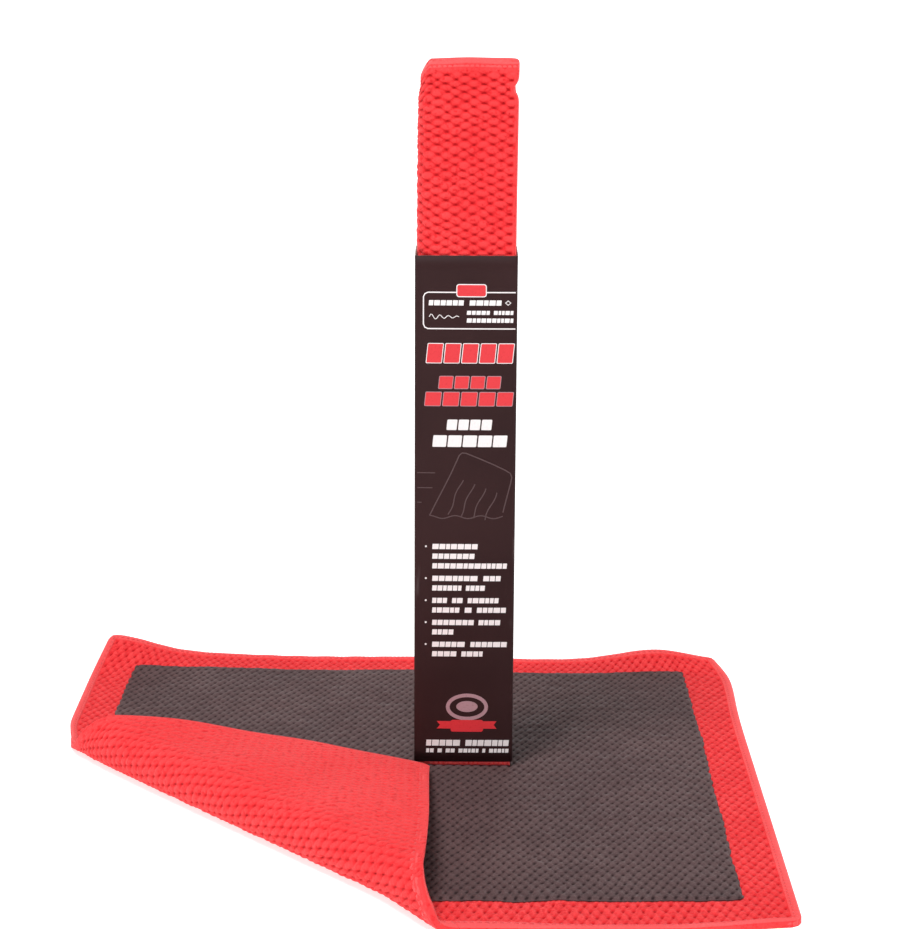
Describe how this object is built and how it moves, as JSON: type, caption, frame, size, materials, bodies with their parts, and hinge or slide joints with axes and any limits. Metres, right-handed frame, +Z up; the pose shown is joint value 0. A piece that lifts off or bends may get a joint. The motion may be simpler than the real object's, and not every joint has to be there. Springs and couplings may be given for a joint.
{
  "type": "clay towel set",
  "caption": "Square knitted microfibre clay towel lying open with a corner folded over, and a folded one standing on it in a card sleeve, for smoothing car paint.",
  "frame": {"origin": "centre of the open towel's square, on the surface that it lies on", "axes": "+X to the right and +Y to the back of the open towel, seen with its folded corner at the front left; +Z up along the standing towel"},
  "size_m": [0.305, 0.305, 0.3083],
  "materials": {
    "knit": "raised pearl-knit microfibre, matt, soft nap",
    "hem": "smooth rolled microfibre hem, matt",
    "thread": "polyester sewing thread",
    "clay": "matt polymer clay with a dimpled surface",
    "card": "coated printed card, satin",
    "glue": "dried glue"
  },
  "bodies": {
    "towel": {"towel_cloth": "knit", "clay_panel": "clay", "back_hem": "hem", "right_hem": "hem", "front_hem": "hem", "left_hem": "hem", "hem_thread": "thread", "bend_cloth": "knit", "bend_clay": "clay"},
    "corner_flap": {"corner_cloth": "knit", "corner_clay": "clay", "corner_front_hem": "hem", "corner_left_hem": "hem", "corner_thread": "thread"},
    "sleeve": {"card_sleeve": "card", "sleeve_lap": "card", "lap_glue": "glue"},
    "folded_towel": {"folded_cloth": "knit", "folded_clay": "clay", "folded_top_hem": "hem", "folded_bottom_hem": "hem", "folded_outer_hem": "hem", "folded_inner_hem": "hem", "folded_thread": "thread"}
  },
  "joints": [
    {"name": "corner_fold", "type": "hinge", "parent": "towel", "child": "corner_flap", "pos_m": [-0.07006, -0.07562, 0.011], "axis": [0.682, -0.7314, 0], "range_deg": [0, 179]},
    {"name": "sleeve_lift", "type": "slide", "parent": "towel", "child": "sleeve", "axis": [0, 0, 1], "range_m": [0, 0.12]},
    {"name": "towel_draw", "type": "slide", "parent": "sleeve", "child": "folded_towel", "axis": [0, 0, 1], "range_m": [0, 0.23]}
  ]
}
